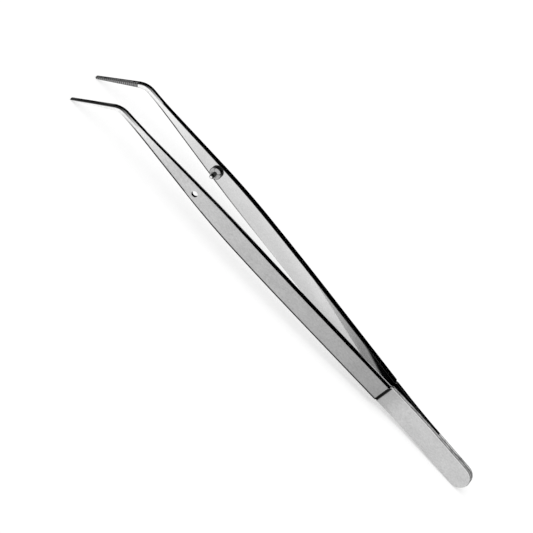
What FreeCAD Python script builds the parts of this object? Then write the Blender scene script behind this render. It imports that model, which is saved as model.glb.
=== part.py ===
import FreeCAD, Part
import math
import os

import Sketcher
from FreeCAD import Placement, Rotation, Vector

# Dental college pliers: two mirrored spring blades of stainless steel, welded to each other at the
# tail, with bent and serrated beaks, and a guide pin on the far blade that enters a hole in the near
# blade as the beaks close.
#
# All pieces are drawn in one drawing frame: x runs from the tail end towards the tips, y = 0 is the
# plane between the blades, z is the blades' width. The near blade lies at y > 0 and the far blade at
# y < 0. One placement then turns them over to the frame of the part, where +X points at the tail, +Y
# from the near blade to the far one and +Z up, with the pliers resting on both tips and the tail end.
# The origin is under the middle of the pliers, on the surface that they rest on.

# Driving dimensions in millimetres and degrees.
DIMENSIONS = {
    # distances along the pliers from the tail end
    "overall_length": 155.0,
    "weld_length": 16.4,
    "shoulder_distance": 34.8,
    # distance along the pliers of the bend from the tips, and of the guide and the bow from the bend
    "beak_length": 11.2,
    "guide_setback": 31.2,
    "shank_length": 33.0,
    # bow of a blade, seen from its narrow side
    "root_radius": 170.0,
    "splay_angle": 5.0,
    "bow_radius": 830.0,
    "shank_angle": 2.0,
    "shank_back_angle": 1.0,
    "beak_face_radius": 60.0,
    "beak_back_radius": 20.0,
    # thickness of a blade
    "tail_thickness": 1.1,
    "shoulder_radius": 0.62,
    "grip_thickness": 2.2,
    "bend_thickness": 1.45,
    "tip_thickness": 0.9,
    # outline of a blade, seen from its broad side, with the shares of the taper that curve
    "tail_width": 7.4,
    "shoulder_width": 7.1,
    "shoulder_side_radius": 0.8,
    "grip_width": 6.0,
    "neck_width": 1.76,
    "neck_length": 3.8,
    "taper_length": 46.2,
    "taper_start_share": 0.394,
    "taper_end_share": 0.165,
    "bend_angle": 45.0,
    "bend_outer_radius": 6.0,
    "bend_inner_radius": 4.0,
    "beak_taper_angle": 1.4,
    "tip_radius": 0.45,
    "edge_radius": 0.25,
    "inner_chamfer": 0.15,
    # teeth across the inner face of a beak
    "toothed_length": 13.2,
    "tooth_pitch": 0.6,
    "tooth_crest": 0.08,
    "tooth_depth": 0.18,
    # guide hole in the near blade, with a conical mouth on the inner face that leads the pin in
    "guide_hole_diameter": 1.9,
    "lead_in_diameter": 3.6,
    "lead_in_angle": 82.0,
    # guide pin in the far blade
    "pin_nose_diameter": 1.25,
    "pin_nose_length": 2.7,
    "pin_nose_rounding": 0.3,
    "pin_collar_diameter": 3.75,
    "pin_collar_height": 0.95,
    "pin_collar_chamfer": 0.15,
    "pin_shank_diameter": 1.6,
    "pin_dome_height": 0.08,
}

# How far raw stock and cutting sketches reach past the blade that is cut from them.
CUT_MARGIN = 6.0
STOCK_MARGIN = 3.0

# How far a unit normal may lean and still count as level.
LEVEL_TOLERANCE = 0.01

NEAR = 1
FAR = -1

# Ends and centre of a sketch's line or arc, and the sketch's own origin and axes.
START, END, CENTRE = range(1, 4)
ORIGIN = (-1, 1)
X_AXIS = -1
Y_AXIS = X_AXIS - 1

doc = FreeCAD.newDocument("college_pliers")


def make_sheet():
    """Put each driving dimension in a named cell, with its name beside it."""
    dimensions = doc.addObject("Spreadsheet::Sheet", "dimensions")
    for row, (name, value) in enumerate(DIMENSIONS.items(), start=1):
        dimensions.set(f"A{row}", name)
        dimensions.set(f"B{row}", str(value))
        dimensions.setAlias(f"B{row}", name)
    doc.recompute()
    return dimensions


sheet = make_sheet()


def size(name):
    """A driving dimension, read back from the sheet."""
    return float(sheet.get(name))


# Sketch helpers


def origin_plane(body, role):
    return next(item for item in body.Origin.OriginFeatures if item.Role == role)


def new_sketch(body, name, role):
    sketch = body.newObject("Sketcher::SketchObject", name)
    sketch.AttachmentSupport = (origin_plane(body, role), [""])
    sketch.MapMode = "FlatFace"
    return sketch


def constrain(sketch, kind, *parts):
    sketch.addConstraint(Sketcher.Constraint(kind, *parts))


def bind(sketch, name, expression, kind, *parts):
    """Add a constraint with a value, and tie it to an expression of the sheet's cells."""
    index = sketch.addConstraint(Sketcher.Constraint(kind, *parts))
    sketch.renameConstraint(index, name)
    sketch.setExpression(f"Constraints.{name}", expression)


def read_out(sketch, name, kind, *parts):
    """Add a constraint that only measures, for other features to refer to."""
    index = sketch.addConstraint(Sketcher.Constraint(kind, *parts))
    sketch.setDriving(index, False)
    sketch.renameConstraint(index, name)


def polar(radius, degrees):
    angle = math.radians(degrees)
    return Vector(radius * math.cos(angle), radius * math.sin(angle), 0)


def line(start, end):
    return Part.LineSegment(start, end)


def arc(centre, start, end, turns_left):
    """Arc from start to end about centre. A sketch's arc runs anticlockwise, whatever was asked."""
    first, last = (start, end) if turns_left else (end, start)
    circle = Part.Circle(centre, Vector(0, 0, 1), (start - centre).Length)
    first_angle = math.atan2(first.y - centre.y, first.x - centre.x)
    last_angle = math.atan2(last.y - centre.y, last.x - centre.x)
    return Part.ArcOfCircle(circle, first_angle, last_angle)


def arc_ends(turns_left):
    """First and last end of an arc that arc() made, in the order that the outline passes them."""
    return (START, END) if turns_left else (END, START)


def double_curve(start, along, across, rise, radius):
    """Two equal arcs from a line to a parallel line beside it: centre, middle, centre and end."""
    level = 1 - rise / (2 * radius)
    step = along * (radius * math.sqrt(1 - level ** 2)) - across * (radius * level)
    first_centre = start + across * radius
    middle = first_centre + step
    second_centre = middle + step
    return first_centre, middle, second_centre, second_centre + across * radius


# Places that follow from the driving dimensions


def bend_distance():
    return size("overall_length") - size("beak_length")


def bowed_face():
    """Points along the near blade's inner face, from the weld to the beak."""
    splay = size("splay_angle")
    shank = size("shank_angle")
    root_centre = Vector(size("weld_length"), size("root_radius"), 0)
    root_end = root_centre + polar(size("root_radius"), splay - 90)

    def along_grip(distance):
        return root_end + polar((distance - root_end.x) / math.cos(math.radians(splay)), splay)

    bow_run = polar(size("bow_radius"), shank + 90) - polar(size("bow_radius"), splay + 90)
    grip_end = along_grip(bend_distance() - size("shank_length") - bow_run.x)
    bow_centre = grip_end + polar(size("bow_radius"), splay - 90)
    bow_end = grip_end + bow_run

    def along_shank(distance):
        return bow_end + polar((distance - bow_end.x) / math.cos(math.radians(shank)), shank)

    blend = size("beak_face_radius") * math.sin(math.radians(shank))
    shank_end = along_shank(bend_distance() - blend)
    blend_centre = shank_end + polar(size("beak_face_radius"), shank - 90)
    return {
        "root_centre": root_centre,
        "root_end": root_end,
        "shoulder": along_grip(size("shoulder_distance")),
        "grip_end": grip_end,
        "bow_centre": bow_centre,
        "bow_end": bow_end,
        "guide": along_shank(bend_distance() - size("guide_setback")),
        "shank_end": shank_end,
        "blend_centre": blend_centre,
        "beak": blend_centre + Vector(0, size("beak_face_radius"), 0),
    }


def bowed_back():
    """Points along the near blade's outer face, from the grip to the bend."""
    splay = size("splay_angle")
    lean = size("shank_back_angle")
    shank = size("shank_angle")
    grip_depth = size("grip_thickness") / math.cos(math.radians(splay))
    bend_depth = size("bend_thickness") / math.cos(math.radians(shank))
    grip_start = face["grip_end"] + Vector(0, grip_depth, 0)
    bend_start = face["shank_end"] + Vector(0, bend_depth, 0)
    grip_slope = math.tan(math.radians(splay))
    back_slope = math.tan(math.radians(lean))
    rise = bend_start.y - grip_start.y - back_slope * (bend_start.x - grip_start.x)
    reach = rise / (grip_slope - back_slope) / math.cos(math.radians(splay))
    radius = reach / math.tan(math.radians((splay - lean) / 2))
    bow_centre = grip_start + polar(radius, splay - 90)
    bow_end = bow_centre + polar(radius, lean + 90)
    across = polar(1, shank + 90)
    along_back = polar(1, lean)
    wall = (bow_end - face["guide"]).cross(along_back).z / across.cross(along_back).z
    return {
        "grip_start": grip_start,
        "bow_centre": bow_centre,
        "bow_end": bow_end,
        "bend_start": bend_start,
        "guide_wall": wall,
    }


def beak_tip_centre():
    """Centre of the rounded tip, seen from the broad side."""
    reach = size("beak_length") - size("tip_radius")
    drop = reach * math.tan(math.radians(size("bend_angle")))
    return Vector(bend_distance() + reach, -drop, 0)


face = bowed_face()
back = bowed_back()
tip_centre = beak_tip_centre()

# Where the blades bend, and how far the tips hang below their middle, as expressions of the sheet's cells.
BEND_DISTANCE = "(dimensions.overall_length - dimensions.beak_length)"
BEAK_DROP = "(dimensions.beak_length - dimensions.tip_radius) * tan(dimensions.bend_angle)"


# Side profile of a blade


def tangent_from(outside, centre, radius):
    """Where the line from an outside point touches a circle, on the circle's upper left."""
    away = outside - centre
    angle = math.degrees(math.atan2(away.y, away.x) + math.acos(radius / away.Length))
    return centre + polar(radius, angle)


def draw_profile(body, side):
    """Section of a blade seen from its narrow side: the bow, and a thickness that changes along it."""
    sketch = new_sketch(body, f"{body.Name}_profile", "XY_Plane")
    splay = size("splay_angle")
    shank = size("shank_angle")
    outward = side == NEAR

    def placed(point):
        return Vector(point.x, side * point.y, 0)

    def placed_line(start, end):
        return line(placed(start), placed(end))

    def placed_arc(centre, start, end, turns_left):
        return arc(placed(centre), placed(start), placed(end), turns_left == outward)

    stock_start = Vector(-STOCK_MARGIN, 0, 0)
    stock_end = size("overall_length") + STOCK_MARGIN
    weld_end = Vector(size("weld_length"), 0, 0)
    weld_outer = weld_end + Vector(0, size("tail_thickness"), 0)
    root_outer = face["root_centre"] + polar(size("root_radius") - size("tail_thickness"), splay - 90)
    step_foot = face["shoulder"] + polar(size("tail_thickness"), splay + 90)
    foot_centre, step_middle, top_centre, step_top = double_curve(
        step_foot, polar(1, splay), polar(1, splay + 90),
        size("grip_thickness") - size("tail_thickness"), size("shoulder_radius"))
    tip_inner = Vector(size("overall_length"), face["beak"].y, 0)
    tip_outer = tip_inner + Vector(0, size("tip_thickness"), 0)
    back_centre = back["bend_start"] + polar(size("beak_back_radius"), size("shank_back_angle") - 90)
    back_start = tangent_from(tip_outer, back_centre, size("beak_back_radius"))
    back_slope = (back_start.y - tip_outer.y) / (tip_outer.x - back_start.x)
    end_inner = Vector(stock_end, face["beak"].y, 0)
    end_outer = Vector(stock_end, tip_outer.y - STOCK_MARGIN * back_slope, 0)

    outline = [
        placed_line(stock_start, weld_end),
        placed_arc(face["root_centre"], weld_end, face["root_end"], True),
        placed_line(face["root_end"], face["grip_end"]),
        placed_arc(face["bow_centre"], face["grip_end"], face["bow_end"], False),
        placed_line(face["bow_end"], face["shank_end"]),
        placed_arc(face["blend_centre"], face["shank_end"], face["beak"], False),
        placed_line(face["beak"], end_inner),
        placed_line(end_inner, end_outer),
        placed_line(end_outer, back_start),
        placed_arc(back_centre, back_start, back["bend_start"], True),
        placed_line(back["bend_start"], back["bow_end"]),
        placed_arc(back["bow_centre"], back["bow_end"], back["grip_start"], True),
        placed_line(back["grip_start"], step_top),
        placed_arc(top_centre, step_top, step_middle, True),
        placed_arc(foot_centre, step_middle, step_foot, False),
        placed_line(step_foot, root_outer),
        placed_arc(face["root_centre"], root_outer, weld_outer, False),
        placed_line(weld_outer, Vector(-STOCK_MARGIN, weld_outer.y, 0)),
        placed_line(Vector(-STOCK_MARGIN, weld_outer.y, 0), stock_start),
    ]
    (weld, root, grip, bow, shank_face, blend, beak, stock_tip, beak_back, back_blend, shank_back,
     bow_back, grip_back, step_upper, step_lower, tail_back, root_back, weld_back,
     stock_tail) = [sketch.addGeometry(item) for item in outline]
    tip_wall = sketch.addGeometry(placed_line(tip_inner, tip_outer), True)
    guide = sketch.addGeometry(Part.Point(placed(face["guide"])), True)
    guide_outer = face["guide"] + polar(back["guide_wall"], shank + 90)
    wall = sketch.addGeometry(placed_line(face["guide"], guide_outer), True)
    left_first, left_last = arc_ends(outward)
    right_first, right_last = arc_ends(not outward)

    constrain(sketch, "PointOnObject", weld, START, X_AXIS)
    constrain(sketch, "Horizontal", weld)
    constrain(sketch, "Tangent", weld, END, root, left_first)
    constrain(sketch, "Tangent", root, left_last, grip, START)
    constrain(sketch, "Tangent", grip, END, bow, right_first)
    constrain(sketch, "Tangent", bow, right_last, shank_face, START)
    constrain(sketch, "Tangent", shank_face, END, blend, right_first)
    constrain(sketch, "Tangent", blend, right_last, beak, START)
    constrain(sketch, "Horizontal", beak)
    constrain(sketch, "Coincident", beak, END, stock_tip, START)
    constrain(sketch, "Vertical", stock_tip)
    constrain(sketch, "Coincident", stock_tip, END, beak_back, START)
    constrain(sketch, "Tangent", beak_back, END, back_blend, left_first)
    constrain(sketch, "Tangent", back_blend, left_last, shank_back, START)
    constrain(sketch, "Vertical", shank_back, START, shank_face, END)
    constrain(sketch, "Tangent", shank_back, END, bow_back, left_first)
    constrain(sketch, "Tangent", bow_back, left_last, grip_back, START)
    constrain(sketch, "Vertical", grip_back, START, grip, END)
    constrain(sketch, "Parallel", grip_back, grip)
    constrain(sketch, "Tangent", grip_back, END, step_upper, left_first)
    constrain(sketch, "Tangent", step_upper, left_last, step_lower, right_first)
    constrain(sketch, "Tangent", step_lower, right_last, tail_back, START)
    constrain(sketch, "Equal", step_upper, step_lower)
    constrain(sketch, "Parallel", tail_back, grip)
    constrain(sketch, "Tangent", tail_back, END, root_back, right_first)
    constrain(sketch, "Coincident", root_back, CENTRE, root, CENTRE)
    constrain(sketch, "Tangent", root_back, right_last, weld_back, START)
    constrain(sketch, "Horizontal", weld_back)
    constrain(sketch, "Coincident", weld_back, END, stock_tail, START)
    constrain(sketch, "Coincident", stock_tail, END, weld, START)
    constrain(sketch, "Vertical", stock_tail)
    constrain(sketch, "PointOnObject", guide, START, shank_face)
    constrain(sketch, "Coincident", wall, START, guide, START)
    constrain(sketch, "PointOnObject", wall, END, shank_back)
    constrain(sketch, "Perpendicular", wall, shank_face)
    constrain(sketch, "PointOnObject", tip_wall, START, beak)
    constrain(sketch, "PointOnObject", tip_wall, END, beak_back)
    constrain(sketch, "Vertical", tip_wall)

    turn = "" if outward else "-"
    bind(sketch, "stock_tail", f"{STOCK_MARGIN}", "DistanceX", weld, START, *ORIGIN, STOCK_MARGIN)
    bind(sketch, "stock_tip", f"dimensions.overall_length + {STOCK_MARGIN}",
         "DistanceX", *ORIGIN, beak, END, stock_end)
    bind(sketch, "weld_end", "dimensions.weld_length",
         "DistanceX", *ORIGIN, weld, END, size("weld_length"))
    bind(sketch, "root_bend", "dimensions.root_radius", "Radius", root, size("root_radius"))
    bind(sketch, "splay", f"{turn}dimensions.splay_angle", "Angle", grip, math.radians(side * splay))
    bind(sketch, "bow_end", f"{BEND_DISTANCE} - dimensions.shank_length",
         "DistanceX", *ORIGIN, shank_face, START, face["bow_end"].x)
    bind(sketch, "bow_bend", "dimensions.bow_radius", "Radius", bow, size("bow_radius"))
    bind(sketch, "lean", f"{turn}dimensions.shank_angle", "Angle", shank_face, math.radians(side * shank))
    bind(sketch, "face_blend", "dimensions.beak_face_radius", "Radius", blend, size("beak_face_radius"))
    bind(sketch, "bend_at", BEND_DISTANCE, "DistanceX", *ORIGIN, beak, START, bend_distance())
    bind(sketch, "guide_at", f"{BEND_DISTANCE} - dimensions.guide_setback",
         "DistanceX", *ORIGIN, guide, START, face["guide"].x)
    bind(sketch, "tip_at", "dimensions.overall_length",
         "DistanceX", *ORIGIN, tip_wall, START, size("overall_length"))
    bind(sketch, "tip_thick", "dimensions.tip_thickness", "Distance", tip_wall, size("tip_thickness"))
    bind(sketch, "back_round", "dimensions.beak_back_radius",
         "Radius", back_blend, size("beak_back_radius"))
    bind(sketch, "bend_thick", "dimensions.bend_thickness",
         "Distance", shank_back, START, shank_face, size("bend_thickness"))
    bind(sketch, "back_lean", f"180 {'+' if outward else '-'} dimensions.shank_back_angle",
         "Angle", shank_back, math.radians(180 + side * size("shank_back_angle")))
    bind(sketch, "grip_thick", "dimensions.grip_thickness",
         "Distance", grip_back, START, grip, size("grip_thickness"))
    bind(sketch, "tail_thick", "dimensions.tail_thickness",
         "Distance", tail_back, START, grip, size("tail_thickness"))
    bind(sketch, "step_round", "dimensions.shoulder_radius", "Radius", step_upper, size("shoulder_radius"))
    bind(sketch, "step_at", "dimensions.shoulder_distance",
         "DistanceX", *ORIGIN, tail_back, START, step_foot.x)

    for name, item in (("beak", beak), ("guide", guide)):
        ends = (*ORIGIN, item, START) if outward else (item, START, *ORIGIN)
        read_out(sketch, f"{name}_level", "DistanceY", *ends, face[name].y)
    read_out(sketch, "guide_wall", "Distance", wall, back["guide_wall"])
    return sketch


# Outline of a blade


def half_outline(half):
    """Points along one edge of a blade seen from its broad side: +1 the upper edge, -1 the lower."""
    tail_radius = size("tail_width") / 2
    shoulder = size("shoulder_width") / 2
    grip = size("grip_width") / 2
    neck = size("neck_width") / 2
    taper_length = size("taper_length")
    start_run = taper_length * size("taper_start_share")
    end_run = taper_length * size("taper_end_share")
    steep = (grip - neck) / (taper_length - (start_run + end_run) / 2)
    taper = math.degrees(steep)
    start_radius = start_run / math.sin(steep)
    end_radius = end_run / math.sin(steep)
    straight = (taper_length - start_run - end_run) / math.cos(steep)
    step_start = Vector(size("shoulder_distance"), half * shoulder, 0)
    first_centre, step_middle, second_centre, step_end = double_curve(
        step_start, Vector(1, 0, 0), Vector(0, -half, 0), shoulder - grip, size("shoulder_side_radius"))
    taper_start = Vector(bend_distance() - size("neck_length") - taper_length, half * grip, 0)
    start_centre = taper_start - Vector(0, half * start_radius, 0)
    taper_first = start_centre + polar(start_radius, half * (90 - taper))
    taper_last = taper_first + polar(straight, -half * taper)
    end_centre = taper_last + polar(end_radius, half * (90 - taper))
    return {
        "tail": Vector(tail_radius, half * tail_radius, 0),
        "step_start": step_start,
        "first_centre": first_centre,
        "step_middle": step_middle,
        "second_centre": second_centre,
        "step_end": step_end,
        "taper_start": taper_start,
        "start_centre": start_centre,
        "taper_first": taper_first,
        "taper_last": taper_last,
        "end_centre": end_centre,
        "neck": Vector(end_centre.x, half * neck, 0),
    }


def bend_arc(neck, tip_point, slope, radius):
    """Where a round corner leaves the neck's edge and joins the beak's edge, and its centre."""
    corner = Vector(tip_point.x - (neck.y - tip_point.y) / math.tan(math.radians(slope)), neck.y, 0)
    reach = radius * math.tan(math.radians(slope / 2))
    start = corner - Vector(reach, 0, 0)
    end = corner + polar(reach, -slope)
    return start, end, start - Vector(0, radius, 0)


def draw_outline(body):
    """Outline of a blade seen from its broad side, inside the frame of waste that is cut away."""
    sketch = new_sketch(body, f"{body.Name}_outline", "XZ_Plane")
    bend = size("bend_angle")
    flare = size("beak_taper_angle")
    upper = half_outline(1)
    lower = half_outline(-1)
    tail_centre = Vector(size("tail_width") / 2, 0, 0)
    tip_upper = tip_centre + polar(size("tip_radius"), 90 - bend - flare)
    tip_lower = tip_centre + polar(size("tip_radius"), flare - 90 - bend)
    outer_start, outer_end, outer_centre = bend_arc(
        upper["neck"], tip_upper, bend + flare, size("bend_outer_radius"))
    inner_start, inner_end, inner_centre = bend_arc(
        lower["neck"], tip_lower, bend - flare, size("bend_inner_radius"))

    outline = [
        arc(tail_centre, upper["tail"], lower["tail"], True),
        line(upper["tail"], upper["step_start"]),
        arc(upper["first_centre"], upper["step_start"], upper["step_middle"], False),
        arc(upper["second_centre"], upper["step_middle"], upper["step_end"], True),
        line(upper["step_end"], upper["taper_start"]),
        arc(upper["start_centre"], upper["taper_start"], upper["taper_first"], False),
        line(upper["taper_first"], upper["taper_last"]),
        arc(upper["end_centre"], upper["taper_last"], upper["neck"], True),
        line(upper["neck"], outer_start),
        arc(outer_centre, outer_start, outer_end, False),
        line(outer_end, tip_upper),
        arc(tip_centre, tip_upper, tip_lower, False),
        line(tip_lower, inner_end),
        arc(inner_centre, inner_end, inner_start, True),
        line(inner_start, lower["neck"]),
        arc(lower["end_centre"], lower["neck"], lower["taper_last"], True),
        line(lower["taper_last"], lower["taper_first"]),
        arc(lower["start_centre"], lower["taper_first"], lower["taper_start"], False),
        line(lower["taper_start"], lower["step_end"]),
        arc(lower["second_centre"], lower["step_end"], lower["step_middle"], True),
        arc(lower["first_centre"], lower["step_middle"], lower["step_start"], False),
        line(lower["step_start"], lower["tail"]),
    ]
    (tail, tail_upper, step_out_upper, step_in_upper, grip_upper, first_upper, taper_upper,
     last_upper, neck_upper, outer, beak_upper, tip, beak_lower, inner, neck_lower, last_lower,
     taper_lower, first_lower, grip_lower, step_in_lower, step_out_lower,
     tail_lower) = [sketch.addGeometry(item) for item in outline]
    axis = sketch.addGeometry(line(Vector(bend_distance(), 0, 0), tip_centre), True)

    constrain(sketch, "PointOnObject", tail, CENTRE, X_AXIS)
    constrain(sketch, "Tangent", tail, START, tail_upper, START)
    constrain(sketch, "Tangent", tail_upper, END, step_out_upper, END)
    constrain(sketch, "Tangent", step_out_upper, START, step_in_upper, START)
    constrain(sketch, "Tangent", step_in_upper, END, grip_upper, START)
    constrain(sketch, "Equal", step_out_upper, step_in_upper)
    constrain(sketch, "Horizontal", grip_upper)
    constrain(sketch, "Tangent", grip_upper, END, first_upper, END)
    constrain(sketch, "Tangent", first_upper, START, taper_upper, START)
    constrain(sketch, "Tangent", taper_upper, END, last_upper, START)
    constrain(sketch, "Tangent", last_upper, END, neck_upper, START)
    constrain(sketch, "Horizontal", neck_upper)
    constrain(sketch, "Tangent", neck_upper, END, outer, END)
    constrain(sketch, "Tangent", outer, START, beak_upper, START)
    constrain(sketch, "Tangent", beak_upper, END, tip, END)
    constrain(sketch, "Tangent", tip, START, beak_lower, START)
    constrain(sketch, "Tangent", beak_lower, END, inner, START)
    constrain(sketch, "Tangent", inner, END, neck_lower, START)
    constrain(sketch, "Horizontal", neck_lower)
    constrain(sketch, "Coincident", neck_lower, END, last_lower, START)
    constrain(sketch, "Coincident", last_lower, END, taper_lower, START)
    constrain(sketch, "Coincident", taper_lower, END, first_lower, END)
    constrain(sketch, "Coincident", first_lower, START, grip_lower, START)
    constrain(sketch, "Coincident", grip_lower, END, step_in_lower, START)
    constrain(sketch, "Coincident", step_in_lower, END, step_out_lower, END)
    constrain(sketch, "Coincident", step_out_lower, START, tail_lower, START)
    constrain(sketch, "Tangent", tail, END, tail_lower, END)
    constrain(sketch, "Symmetric", tail_upper, END, tail_lower, START, X_AXIS)
    constrain(sketch, "Symmetric", step_in_upper, START, step_in_lower, END, X_AXIS)
    constrain(sketch, "Symmetric", grip_upper, START, grip_lower, END, X_AXIS)
    constrain(sketch, "Symmetric", grip_upper, END, grip_lower, START, X_AXIS)
    constrain(sketch, "Symmetric", taper_upper, START, taper_lower, END, X_AXIS)
    constrain(sketch, "Symmetric", taper_upper, END, taper_lower, START, X_AXIS)
    constrain(sketch, "Symmetric", neck_upper, START, neck_lower, END, X_AXIS)
    constrain(sketch, "Equal", step_out_upper, step_out_lower)
    constrain(sketch, "Equal", step_in_upper, step_in_lower)
    constrain(sketch, "Equal", first_upper, first_lower)
    constrain(sketch, "Equal", last_upper, last_lower)
    constrain(sketch, "PointOnObject", axis, START, X_AXIS)
    constrain(sketch, "Coincident", axis, END, tip, CENTRE)

    bind(sketch, "tail_round", "dimensions.tail_width / 2", "Radius", tail, size("tail_width") / 2)
    bind(sketch, "tail_at", "dimensions.tail_width / 2",
         "DistanceX", *ORIGIN, tail, CENTRE, size("tail_width") / 2)
    bind(sketch, "step_at", "dimensions.shoulder_distance",
         "DistanceX", *ORIGIN, tail_upper, END, size("shoulder_distance"))
    bind(sketch, "step_side", "dimensions.shoulder_width",
         "DistanceY", tail_lower, START, tail_upper, END, size("shoulder_width"))
    bind(sketch, "step_round", "dimensions.shoulder_side_radius",
         "Radius", step_out_upper, size("shoulder_side_radius"))
    bind(sketch, "grip_side", "dimensions.grip_width",
         "DistanceY", grip_lower, START, grip_upper, END, size("grip_width"))
    bind(sketch, "neck_at", f"{BEND_DISTANCE} - dimensions.neck_length",
         "DistanceX", *ORIGIN, neck_upper, START, upper["neck"].x)
    bind(sketch, "taper_run", "dimensions.taper_length",
         "DistanceX", grip_upper, END, neck_upper, START, size("taper_length"))
    bind(sketch, "taper_first", "dimensions.taper_length * dimensions.taper_start_share",
         "DistanceX", grip_upper, END, taper_upper, START, upper["taper_first"].x - upper["taper_start"].x)
    bind(sketch, "taper_last", "dimensions.taper_length * dimensions.taper_end_share",
         "DistanceX", taper_upper, END, neck_upper, START, upper["neck"].x - upper["taper_last"].x)
    bind(sketch, "neck_side", "dimensions.neck_width",
         "DistanceY", neck_lower, END, neck_upper, START, size("neck_width"))
    bind(sketch, "outer_bend", "dimensions.bend_outer_radius",
         "Radius", outer, size("bend_outer_radius"))
    bind(sketch, "inner_bend", "dimensions.bend_inner_radius",
         "Radius", inner, size("bend_inner_radius"))
    bind(sketch, "bend_at", BEND_DISTANCE, "DistanceX", *ORIGIN, axis, START, bend_distance())
    bind(sketch, "tip_at", "dimensions.overall_length - dimensions.tip_radius",
         "DistanceX", *ORIGIN, axis, END, size("overall_length") - size("tip_radius"))
    bind(sketch, "tip_round", "dimensions.tip_radius", "Radius", tip, size("tip_radius"))
    bind(sketch, "bend_slope", "-dimensions.bend_angle", "Angle", axis, math.radians(-bend))
    bind(sketch, "beak_upper_slope", "-dimensions.bend_angle - dimensions.beak_taper_angle",
         "Angle", beak_upper, math.radians(-bend - flare))
    bind(sketch, "beak_lower_slope", "180 - dimensions.bend_angle + dimensions.beak_taper_angle",
         "Angle", beak_lower, math.radians(180 - bend + flare))

    draw_waste_edge(sketch)
    return sketch


def draw_waste_edge(sketch):
    """Rectangle round the outline, past the bar that it is cut from on every side."""
    front = size("overall_length") + CUT_MARGIN
    height = CUT_MARGIN - tip_centre.y
    corners = [Vector(-CUT_MARGIN, -height, 0), Vector(front, -height, 0),
               Vector(front, height, 0), Vector(-CUT_MARGIN, height, 0)]
    edges = []
    for index, corner in enumerate(corners):
        edges.append(sketch.addGeometry(line(corner, corners[(index + 1) % len(corners)])))
    for index, edge in enumerate(edges):
        constrain(sketch, "Coincident", edge, END, edges[(index + 1) % len(edges)], START)
        constrain(sketch, "Horizontal" if index % 2 == 0 else "Vertical", edge)
    lower, _, upper, _ = edges
    bind(sketch, "waste_back", f"{CUT_MARGIN}", "DistanceX", lower, START, *ORIGIN, CUT_MARGIN)
    bind(sketch, "waste_front", f"dimensions.overall_length + {CUT_MARGIN}",
         "DistanceX", *ORIGIN, lower, END, front)
    bind(sketch, "waste_top", f"{BEAK_DROP} + {CUT_MARGIN}",
         "DistanceY", *ORIGIN, upper, START, height)
    bind(sketch, "waste_bottom", f"{BEAK_DROP} + {CUT_MARGIN}",
         "DistanceY", lower, START, *ORIGIN, height)


# Features of a blade


def finish_cut(body, volume_before, name):
    """Recompute after a cut, and stop if it has taken nothing off the blade."""
    doc.recompute()
    if body.Shape.Volume >= volume_before:
        raise RuntimeError(f"{name} cuts nothing")


def side_edges(shape, looking):
    """Edges between the narrow sides and the broad face that looks towards +y (1) or -y (-1)."""
    names = []
    for index, edge in enumerate(shape.Edges, start=1):
        middle = edge.valueAt((edge.FirstParameter + edge.LastParameter) / 2)
        across = []
        for neighbour in shape.ancestorsOfType(edge, Part.Face):
            u, v = neighbour.Surface.parameter(middle)
            across.append(looking * neighbour.normalAt(u, v).y)
        across.sort()
        if len(across) == 2 and abs(across[0]) < LEVEL_TOLERANCE < across[1]:
            names.append(f"Edge{index}")
    return names


def make_blank(name, side):
    """Bowed bar, cut to the blade's outline, with its long edges rounded."""
    body = doc.addObject("PartDesign::Body", name)
    body.Label = name

    bar = body.newObject("PartDesign::Pad", f"{name}_bar")
    bar.Profile = draw_profile(body, side)
    bar.SideType = "Symmetric"
    bar.Length = 2 * (STOCK_MARGIN - tip_centre.y)
    bar.setExpression("Length", f"2 * ({BEAK_DROP} + {STOCK_MARGIN})")
    doc.recompute()

    volume_before = body.Shape.Volume
    trim = body.newObject("PartDesign::Pocket", f"{name}_trim")
    trim.Profile = draw_outline(body)
    trim.Type = "ThroughAll"
    trim.SideType = "Symmetric"
    finish_cut(body, volume_before, trim.Name)

    volume_before = body.Shape.Volume
    rounding = body.newObject("PartDesign::Fillet", f"{name}_round_edges")
    rounding.Base = (trim, side_edges(trim.Shape, side))
    rounding.Radius = size("edge_radius")
    rounding.setExpression("Radius", "dimensions.edge_radius")
    finish_cut(body, volume_before, rounding.Name)

    volume_before = body.Shape.Volume
    breaking = body.newObject("PartDesign::Chamfer", f"{name}_broken_edges")
    breaking.Base = (rounding, side_edges(rounding.Shape, -side))
    breaking.Size = size("inner_chamfer")
    breaking.setExpression("Size", "dimensions.inner_chamfer")
    finish_cut(body, volume_before, breaking.Name)
    return body


def drill(body, side, name, diameter):
    """Round hole through the shank, square to its inner face and started from there."""
    sketch = new_sketch(body, f"{name}_circle", "XZ_Plane")
    below = -side
    sketch.AttachmentOffset = Placement(
        Vector(face["guide"].x, 0, below * face["guide"].y),
        Rotation(Vector(0, side, 0), size("shank_angle")))
    sketch.setExpression("AttachmentOffset.Base.x", f"{BEND_DISTANCE} - dimensions.guide_setback")
    sketch.setExpression("AttachmentOffset.Base.z",
                         f"{below} * {body.Name}_profile.Constraints.guide_level")
    sketch.setExpression("AttachmentOffset.Rotation.Angle", "dimensions.shank_angle")
    circle = sketch.addGeometry(Part.Circle(Vector(0, 0, 0), Vector(0, 0, 1), size(diameter) / 2))
    constrain(sketch, "Coincident", circle, CENTRE, *ORIGIN)
    bind(sketch, "bore", f"dimensions.{diameter}", "Diameter", circle, size(diameter))
    doc.recompute()

    volume_before = body.Shape.Volume
    hole = body.newObject("PartDesign::Hole", name)
    hole.Profile = sketch
    hole.Reversed = side == FAR
    hole.DepthType = "ThroughAll"
    hole.setExpression("Diameter", f"dimensions.{diameter}")
    finish_cut(body, volume_before, name)
    return hole


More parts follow.
